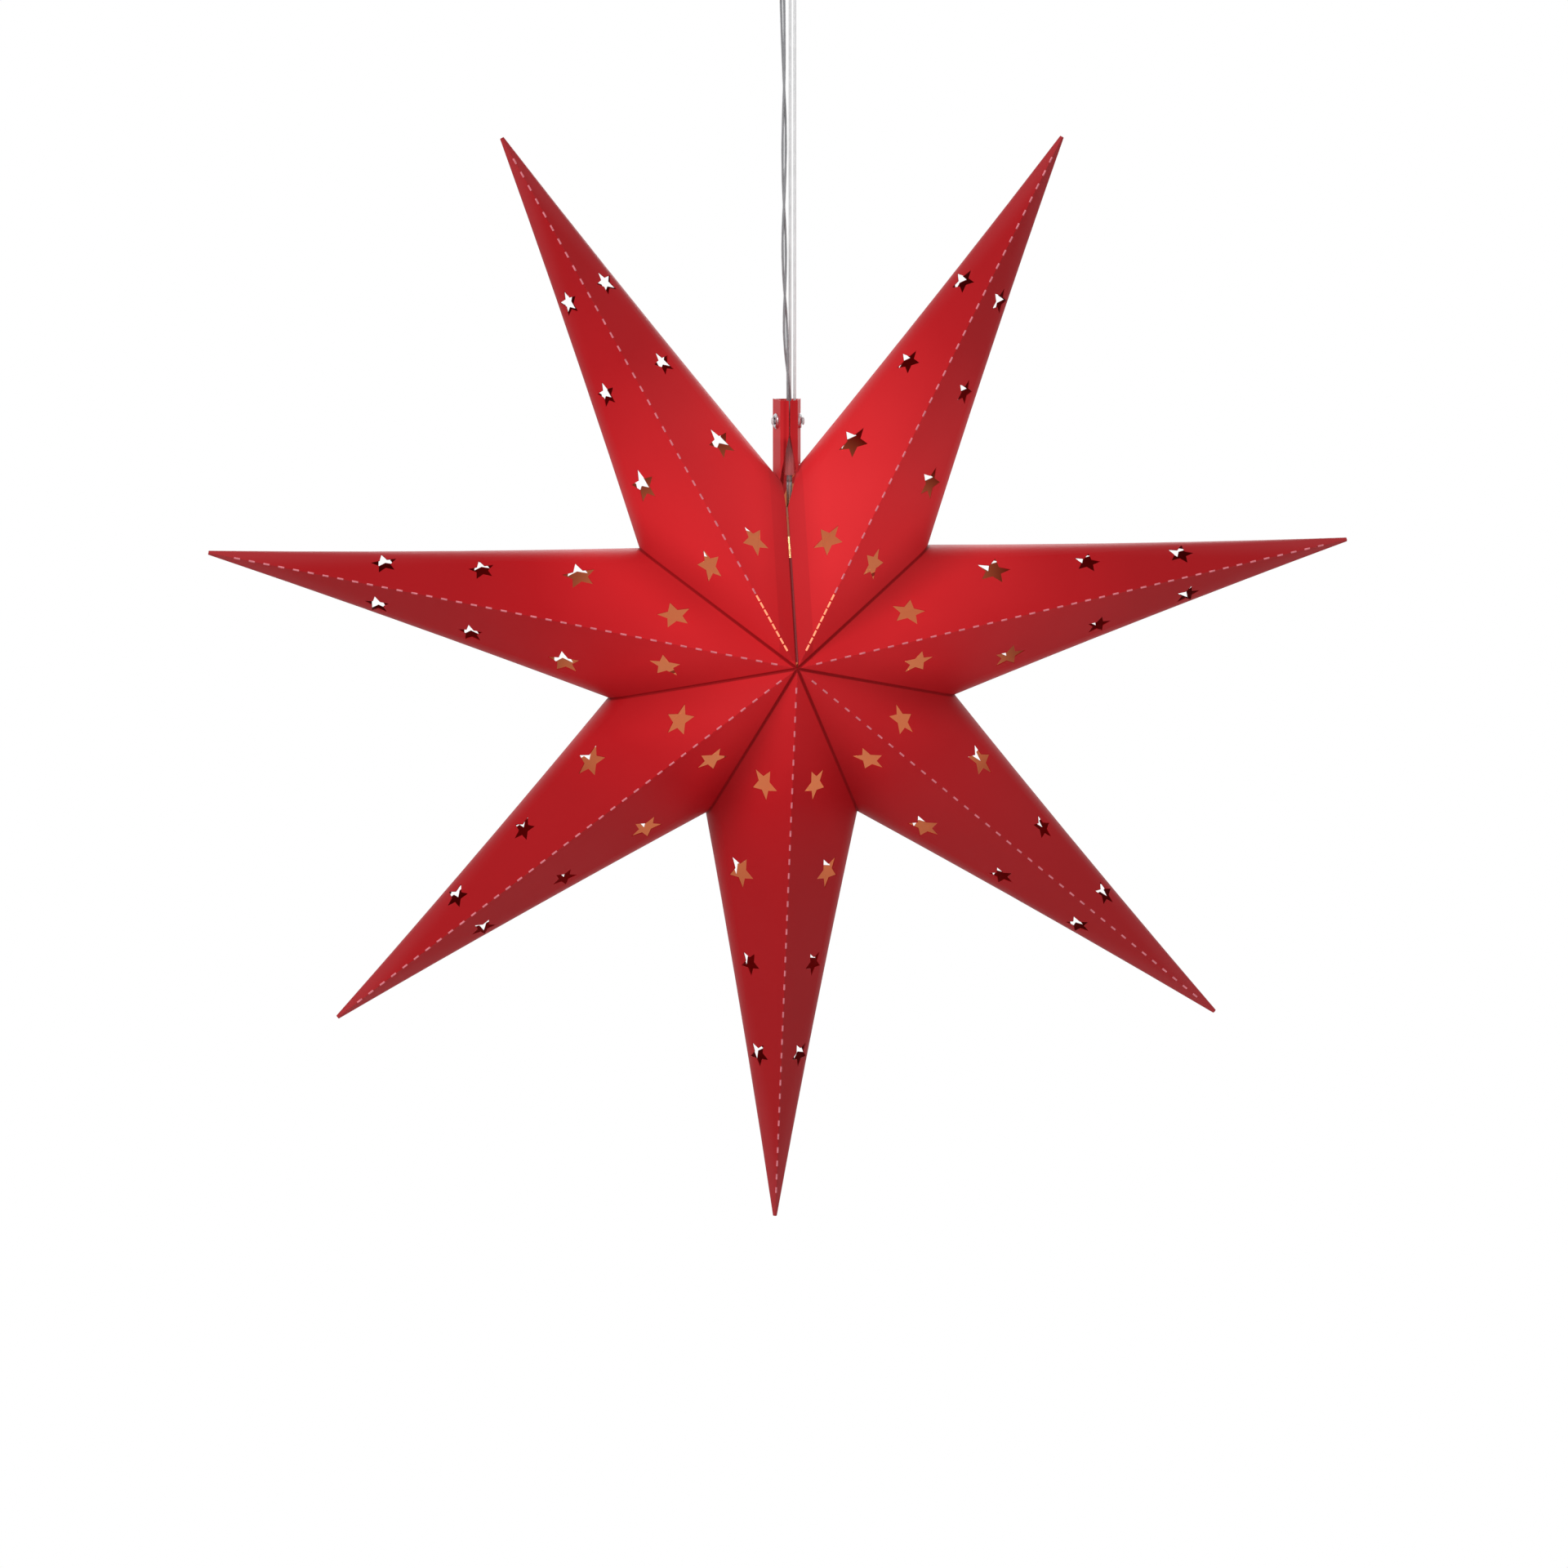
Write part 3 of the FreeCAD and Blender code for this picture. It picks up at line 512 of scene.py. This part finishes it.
def outside_red(tree, at, split_place):
    """The coated red with painted light and shade: brighter nearer the lamp, a painted grey sheen where it
    bends round at the outline, painted shade in the valleys and a painted shadow over the flaps.
    """
    # Painted lamp light: a brighter red nearer the lamp, with a random drift in tone
    red = ramp(tree, at, [(0.1, RED_LAMP_LIT), (0.6, RED_AWAY_FROM_LAMP)])
    # Painted sheen: a greyer red near the middle plane, where the paper bends round at the outline
    depth = math_node(tree, "ABSOLUTE", split_place["Y"])
    edge = fade(tree, depth, 0.0, EDGE_SHEEN_WIDTH)
    red = mix_colour(tree, math_node(tree, "MULTIPLY", edge, EDGE_SHEEN_STRENGTH), red, (*RED_EDGE_SHEEN, 1))
    # Painted shade: a dark line on each valley fold and a softer shade beside it, growing out from the
    # centre
    valley, radius = nearest_valley(tree, split_place)
    soft = math_node(tree, "MULTIPLY", fade(tree, valley, 0.0, VALLEY_SHADE), VALLEY_STRENGTH)
    grown = math_node(tree, "MULTIPLY", radius, VALLEY_GROWTH, clamp=True)
    soft = math_node(tree, "MULTIPLY", soft, grown)
    line = fade(tree, valley, VALLEY_SHADE_LINE * 0.5, VALLEY_SHADE_LINE)
    line = math_node(tree, "MULTIPLY", line, VALLEY_SHADE_LINE_STRENGTH)
    dark = math_node(tree, "MAXIMUM", soft, line)
    within = fade(tree, radius, VALLEY_FADES_FROM, VALLEY_ENDS)
    red = mix_colour(tree, math_node(tree, "MULTIPLY", dark, within), red, (*RED_VALLEY_SHADE, 1))
    # Painted shadow of the closing flaps: darker each side of the slit, above the centre
    aside = math_node(tree, "ABSOLUTE", math_node(tree, "SUBTRACT", split_place["X"], CENTRE.x))
    above = math_node(tree, "GREATER_THAN", split_place["Z"], CENTRE.z + FLAP_LOW)
    flap_shadow = math_node(tree, "MULTIPLY", fade(tree, aside, FLAP_SHADOW_WIDTH - FLAP_FADE, FLAP_SHADOW_WIDTH), above)
    flap_shadow = math_node(tree, "MULTIPLY", flap_shadow, FLAP_SHADOW_STRENGTH)
    return mix_colour(tree, flap_shadow, red, (*RED_FLAP_SHADOW, 1)), flap_shadow, dark


def light_inside(tree, place, split_place, colour, glow):
    """Puts the inside's painted lamp light, warm near the lamp and painted in shade further off, over the
    outside's colour and glow, and gives both.

    The place is in the object's axes and the normal in the world's, so the two sides
    are told apart rightly at rest and not once the line has turned half way round.
    """
    normal = split(tree, add(tree.nodes, "ShaderNodeNewGeometry").outputs["Normal"])
    side = math_node(tree, "MULTIPLY", split_place["Y"], normal["Y"])
    inside = math_node(tree, "LESS_THAN", side, INSIDE_BELOW)
    warm = vector_node(tree, "DISTANCE", place, tuple(WARM_AT)).outputs["Value"]
    warm = math_node(tree, "DIVIDE", warm, STAR_RADIUS, clamp=True)
    # Painted lamp light on the inside: warm near the lit middle, in shade further off
    lit = ramp(tree, warm, [(0.0, INSIDE_LAMP_LIT), (0.38, INSIDE_HALF_LIT), (0.46, INSIDE_IN_SHADE)])
    lamp_light = ramp(tree, warm, [
        (0.0, (0.70, 0.33, 0.15)),
        (0.37, (0.42, 0.16, 0.07)),
        (0.46, (0.08, 0.002, 0.002)),
        (0.9, (0.01, 0.0, 0.0)),
    ])
    return mix_colour(tree, inside, colour, lit), mix_colour(tree, inside, glow, lamp_light)


def paper_material(name, hollow=True):
    """Satin coated red paper: its outside has a painted glow by its distance from the lamp, for the lamp's
    light coming through, and its inside has painted warm lamp light.
    """
    material, nodes_of, links = new_material(name)
    tree = material.node_tree
    bsdf = shader(material)
    place = add(nodes_of, "ShaderNodeTexCoord").outputs["Object"]
    away = vector_node(tree, "DISTANCE", place, tuple(LAMP_AT)).outputs["Value"]
    near = math_node(tree, "DIVIDE", away, STAR_RADIUS, clamp=True)
    split_place = split(tree, place)
    noise = add(nodes_of, "ShaderNodeTexNoise")
    links.new(place, noise.inputs["Vector"])
    set_inputs(noise, Scale=9.0, Detail=3.0, Roughness=0.5)
    drift = math_node(tree, "MULTIPLY_ADD", noise.outputs["Fac"], 0.20, -0.10)
    at = math_node(tree, "ADD", near, drift, clamp=True)
    colour, flap_shadow, dark = outside_red(tree, at, split_place)
    # Painted glow for the lamp's light through the paper, fading with the distance from the lamp
    glow = ramp(tree, at, [
        (0.0, (0.46, 0.045, 0.05)),
        (0.22, (0.30, 0.020, 0.022)),
        (0.45, (0.07, 0.001, 0.002)),
        (0.8, (0.0, 0.0, 0.0)),
    ])
    # No painted glow under the painted valley shade and the painted flap shadow
    hidden = math_node(tree, "MAXIMUM", flap_shadow, dark)
    glow = mix_colour(tree, hidden, glow, (0, 0, 0, 1))
    if hollow:
        colour, glow = light_inside(tree, place, split_place, colour, glow)
    links.new(colour, bsdf.inputs["Base Color"])
    links.new(glow, bsdf.inputs["Emission Color"])
    bsdf.inputs["Emission Strength"].default_value = 0.6
    rough = math_node(tree, "MULTIPLY_ADD", noise.outputs["Fac"], 0.16, 0.36)
    links.new(rough, bsdf.inputs["Roughness"])
    bsdf.inputs["Specular IOR Level"].default_value = 0.12
    fibre = add(nodes_of, "ShaderNodeTexNoise")
    links.new(place, fibre.inputs["Vector"])
    set_inputs(fibre, Scale=420.0, Detail=2.0)
    bump = add(nodes_of, "ShaderNodeBump")
    set_inputs(bump, Strength=0.06, Distance=0.0004)
    links.new(fibre.outputs["Fac"], bump.inputs["Height"])
    links.new(bump.outputs["Normal"], bsdf.inputs["Normal"])
    return material


PAPER = paper_material("red_paper")
TAB_PAPER = paper_material("red_tab_paper", hollow=False)
# The red paper painted darker, in shade, for the folded edges in the slit
SHADED_PAPER = plain_material("shaded_red_paper", linear(120, 4, 10), 0.5)
PALE_PAPER = plain_material("broken_coating", linear(222, 124, 134), 0.7, grain=700.0, contrast=0.2)
# Painted glow of the lamp's light through the slits near the centre
SLIT_GLOW_PAPER = glowing_material("painted_slit_glow", linear(255, 150, 110), 0.7)
STEEL = plain_material("eyelet_steel", (0.62, 0.62, 0.64), 0.28, metallic=1.0, grain=900.0)
CLEAR = clear_material("clear_clip", linear(214, 92, 92), 0.50)
TIE = plain_material("white_tie", (0.82, 0.82, 0.80), 0.55)
PLUG = clear_material("clear_plug", (0.88, 0.88, 0.88), 0.75, 0.2)
PINS = plain_material("plated_pins", (0.70, 0.66, 0.56), 0.3, metallic=1.0)
CAP = plain_material("white_cap", (0.85, 0.84, 0.80), 0.4)
BOARD = plain_material("white_board", (0.88, 0.86, 0.78), 0.5)
DIODE = glowing_material("lit_diode", (1.0, 0.78, 0.45), 30.0)
LENS = clear_material("clear_lens", (1.0, 0.93, 0.80), 0.25, 0.1)
FINISHES = {
    "arm_laps": PAPER, "valley_flanges": PAPER, "closing_flap_left": PAPER, "closing_flap_right": PAPER,
    "tab_leaf_left": TAB_PAPER, "tab_leaf_right": TAB_PAPER, "eyelet_left": STEEL, "eyelet_right": STEEL,
    "end_knot_left": LINE, "end_knot_right": LINE, "line_strand_left": LINE, "line_strand_right": LINE,
    "cord_clip": CLEAR, "top_knot": LINE, "hanging_loop": LINE, "coil_tie": TIE,
    "cable_free": JACKET, "cable_coil": JACKET, "cable_tab": JACKET, "cable_lamp": JACKET,
    "plug_relief": PLUG, "plug_body": PLUG, "plug_pins": PINS, "lamp_cap": CAP,
    "lamp_board": BOARD, "lamp_diodes": DIODE, "lamp_lens": LENS,
}


def dress_nodes():
    """Gives each carried-over node its finish."""
    for name in ARM_ANGLES:
        FINISHES[name] = PAPER
    for name, material in FINISHES.items():
        mesh = nodes[name].data
        mesh.materials.clear()
        mesh.materials.append(material)


dress_nodes()


# Folds: the perforated ridges that show the pale paper through the coating
PERFORATION_PITCH = 0.0076
PERFORATION_START = 0.010
LIT_END = 0.042
LIT_PITCH = 0.0040
DASH_LENGTH = 0.0031
DASH_WIDTH = 0.0009
DASH_PROUD = 0.00015
RIDGE_STEEPNESS = 1.13
# How far from the star's middle plane the rays start that find its surface
RAY_START = 0.2


def surface_tree(name):
    mesh = nodes[name].data
    places = [nodes[name].matrix_world @ vertex.co for vertex in mesh.vertices]
    return BVHTree.FromPolygons(places, [tuple(face.vertices) for face in mesh.polygons])


def surface_at(tree, place, side):
    """The outermost paper on the line of view through a place, from the front (-1) or the back (1)."""
    start = Vector((place.x, side * RAY_START, place.z))
    hit = tree.ray_cast(start, Vector((0, -side, 0)), RAY_START)
    return hit[0]


def dash_row(tree, at, across, side):
    """Three places over the fold: beside it, on its crest and beside it again."""
    beside = [surface_at(tree, at + across * (way * DASH_WIDTH / 2), side) for way in (-1, 1)]
    if None in beside:
        return None
    crest = (beside[0] + beside[1]) / 2
    crest.y += side * RIDGE_STEEPNESS * DASH_WIDTH / 2
    return [beside[0], crest, beside[1]]


def add_dash(vertices, faces, rows, side):
    first = len(vertices)
    for lift in (DASH_PROUD, -DASH_PROUD):
        for row in rows:
            vertices.extend(place + Vector((0, side * lift, 0)) for place in row)
    top = [first + number for number in range(6)]
    low = [first + 6 + number for number in range(6)]
    for one, two in ((0, 1), (1, 2)):
        faces.append((top[one], top[two], top[two + 3], top[one + 3]))
        faces.append((low[one + 3], low[two + 3], low[two], low[one]))
        faces.append((top[two], top[one], low[one], low[two]))
        faces.append((top[one + 3], top[two + 3], low[two + 3], low[one + 3]))
    faces.append((top[0], top[3], low[3], low[0]))
    faces.append((top[5], top[2], low[2], low[5]))


def perforate(name, arms, start, end, pitch, material):
    vertices = []
    faces = []
    for arm in arms:
        tree = surface_tree(arm)
        angle = math.radians(ARM_ANGLES[arm])
        out = Vector((math.sin(angle), 0, math.cos(angle)))
        across = Vector((math.cos(angle), 0, -math.sin(angle)))
        for side in (-1, 1):
            at = start
            while at + DASH_LENGTH < end:
                ends = [CENTRE + out * at, CENTRE + out * (at + DASH_LENGTH)]
                rows = [dash_row(tree, place, across, side) for place in ends]
                if None not in rows:
                    add_dash(vertices, faces, rows, side)
                at += pitch
    item = mesh_piece(name, vertices, faces, material)
    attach(item, "star")


LOWER_ARMS = [name for name in ARM_ANGLES if name not in UPPER_ARMS]
TIP_PLAIN = STAR_RADIUS - 0.008
perforate("fold_perforations", LOWER_ARMS, PERFORATION_START, TIP_PLAIN, PERFORATION_PITCH, PALE_PAPER)
perforate("upper_perforations", UPPER_ARMS, LIT_END, TIP_PLAIN, PERFORATION_PITCH, PALE_PAPER)
# Perforations near the centre of the upper arms, with a painted glow of the lamp's light
perforate("lit_perforations", UPPER_ARMS, PERFORATION_START, LIT_END, LIT_PITCH, SLIT_GLOW_PAPER)


# Seam: the folded edges that meet in the slit, and the back's closed seam behind the cable
# Millimetres, the heights from the star's centre
SEAM_LOW = 3.0
SLIT_OPEN_FROM = 52.0
BACK_SEAM_HIGH = 92.0
SEAM_STEP = 3.0
SEAM_REACH = 0.9
SEAM_INWARD = 0.5
SEAM_SLOPE = 0.8
MOUTH_LOW = 76.0
MOUTH_HIGH = 96.0
MOUTH_HALF = 6.4
MOUTH_LAP = 0.4
SLIT_HALF = 0.5
SLIT_LAP = 0.1
# Metres
SEAM_THICKNESS = 0.0003


def seam_rows(high, half_width, side):
    """Rows of three places along the valley between the two upper arms."""
    left = surface_tree("arm_upper_left")
    right = surface_tree("arm_upper_right")
    count = max(2, round((high - SEAM_LOW) / SEAM_STEP))
    rows = []
    for index in range(count + 1):
        height = SEAM_LOW + (high - SEAM_LOW) * index / count
        half = half_width(height)
        middle = CENTRE + Vector((0, 0, height * MM))
        reach = Vector(((half + SEAM_REACH) * MM, 0, 0))
        hits = [surface_at(left, middle - reach, side), surface_at(right, middle + reach, side)]
        if None in hits:
            continue
        depth = (hits[0].y + hits[1].y) / 2 - side * SEAM_INWARD * MM
        slope = side * SEAM_SLOPE * half * MM
        rows.append([
            Vector((middle.x - half * MM, depth, middle.z)),
            Vector((middle.x, depth - slope, middle.z)),
            Vector((middle.x + half * MM, depth, middle.z)),
        ])
    return rows


def strip(name, rows, thickness, material):
    """A thin closed sheet over rows of places."""
    wide = len(rows[0])
    vertices = []
    for lift in (0.0, thickness):
        for row in rows:
            vertices.extend(place + Vector((0, lift, 0)) for place in row)
    layer = len(rows) * wide
    faces = []
    for row in range(len(rows) - 1):
        for index in range(wide - 1):
            one = row * wide + index
            face = (one, one + 1, one + 1 + wide, one + wide)
            faces.append(face)
            faces.append(tuple(layer + number for number in reversed(face)))
    for row in range(len(rows) - 1):
        left = row * wide
        right = left + wide - 1
        faces.append((left, left + wide, layer + left + wide, layer + left))
        faces.append((right + wide, right, layer + right, layer + right + wide))
    for index in range(wide - 1):
        last = (len(rows) - 1) * wide + index
        faces.append((index + 1, index, layer + index, layer + index + 1))
        faces.append((last, last + 1, layer + last + 1, layer + last))
    item = mesh_piece(name, vertices, faces, material)
    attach(item, "star")


def mouth_half_width(height):
    share = (height - MOUTH_LOW) / (MOUTH_HIGH - MOUTH_LOW)
    return SLIT_HALF + MOUTH_LAP + (MOUTH_HALF - SLIT_HALF) * max(0.0, share)


def slit_half_width(height):
    return SLIT_HALF + SLIT_LAP


strip("seam_folds", seam_rows(SLIT_OPEN_FROM, slit_half_width, -1), SEAM_THICKNESS, SHADED_PAPER)
strip("back_seam", seam_rows(BACK_SEAM_HIGH, mouth_half_width, 1), -SEAM_THICKNESS, TAB_PAPER)


# Tab: the sheet that closes the sleeve behind the cable
TAB_MIDDLE = CENTRE.x + 2.1 * MM
TAB_LOW = 86.0
TAB_HIGH = 129.8
TAB_THICKNESS = 0.0004
TAB_BACK = [(-6.4, 6.9), (-3.6, 8.3), (0.0, 8.8), (3.6, 8.3), (6.4, 6.9)]


def make_tab_back(step=4.0):
    count = round((TAB_HIGH - TAB_LOW) / step)
    rows = []
    for index in range(count + 1):
        height = TAB_LOW + (TAB_HIGH - TAB_LOW) * index / count
        rows.append([
            Vector((TAB_MIDDLE + x * MM, y * MM, height * MM - HANG_DROP)) for x, y in TAB_BACK
        ])
    strip("tab_back", rows, TAB_THICKNESS, TAB_PAPER)


make_tab_back()


# Studio: white surroundings for the camera, soft light for the object
WORLD_LIGHT = 0.34
FLOOR_REACH = 6.0
FLOOR_HEIGHT = -1.15


def make_world():
    scene = bpy.context.scene
    scene.view_settings.view_transform = "Standard"
    world = bpy.data.worlds.new("studio")
    scene.world = world
    world.use_nodes = True
    tree = world.node_tree
    tree.nodes.clear()
    output = add(tree.nodes, "ShaderNodeOutputWorld")
    light = add(tree.nodes, "ShaderNodeBackground")
    light.inputs["Color"].default_value = (1, 1, 1, 1)
    light.inputs["Strength"].default_value = WORLD_LIGHT
    white = add(tree.nodes, "ShaderNodeBackground")
    white.inputs["Color"].default_value = (1, 1, 1, 1)
    white.inputs["Strength"].default_value = 1.0
    path = add(tree.nodes, "ShaderNodeLightPath")
    seen = math_node(tree, "MAXIMUM", path.outputs["Is Camera Ray"], path.outputs["Is Transmission Ray"])
    seen = math_node(tree, "MAXIMUM", seen, path.outputs["Is Glossy Ray"])
    mix = add(tree.nodes, "ShaderNodeMixShader")
    tree.links.new(seen, mix.inputs[0])
    tree.links.new(light.outputs[0], mix.inputs[1])
    tree.links.new(white.outputs[0], mix.inputs[2])
    tree.links.new(mix.outputs[0], output.inputs["Surface"])


def make_floor():
    mesh = bpy.data.meshes.new("floor")
    size = FLOOR_REACH
    low = FLOOR_HEIGHT
    mesh.from_pydata(
        [(-size, -size, low), (size, -size, low), (size, size, low), (-size, size, low)],
        [], [(0, 1, 2, 3)],
    )
    floor = bpy.data.objects.new("floor", mesh)
    bpy.context.scene.collection.objects.link(floor)
    material, nodes_of, links = new_material("pale_floor")
    shader(material).inputs["Base Color"].default_value = (0.85, 0.85, 0.85, 1)
    shader(material).inputs["Roughness"].default_value = 0.8
    output = nodes_of["Material Output"]
    camera_white = add(nodes_of, "ShaderNodeEmission")
    camera_white.inputs["Strength"].default_value = 1.0
    path = add(nodes_of, "ShaderNodeLightPath")
    mix = add(nodes_of, "ShaderNodeMixShader")
    links.new(path.outputs["Is Camera Ray"], mix.inputs[0])
    links.new(shader(material).outputs[0], mix.inputs[1])
    links.new(camera_white.outputs[0], mix.inputs[2])
    links.new(mix.outputs[0], output.inputs["Surface"])
    mesh.materials.append(material)


def area_light(name, at, toward, size, power):
    data = bpy.data.lights.new(name, "AREA")
    data.energy = power
    data.size = size
    lamp = bpy.data.objects.new(name, data)
    lamp.location = at
    lamp.rotation_mode = "QUATERNION"
    lamp.rotation_quaternion = (Vector(toward) - Vector(at)).to_track_quat("-Z", "Y")
    bpy.context.scene.collection.objects.link(lamp)


make_world()
make_floor()
area_light("key", (-1.5, -1.7, 1.1), CENTRE, 1.2, 44)
area_light("fill", (1.8, -2.0, -0.6), CENTRE, 1.6, 12)
area_light("back", (0.5, 2.4, 0.8), CENTRE, 1.6, 18)
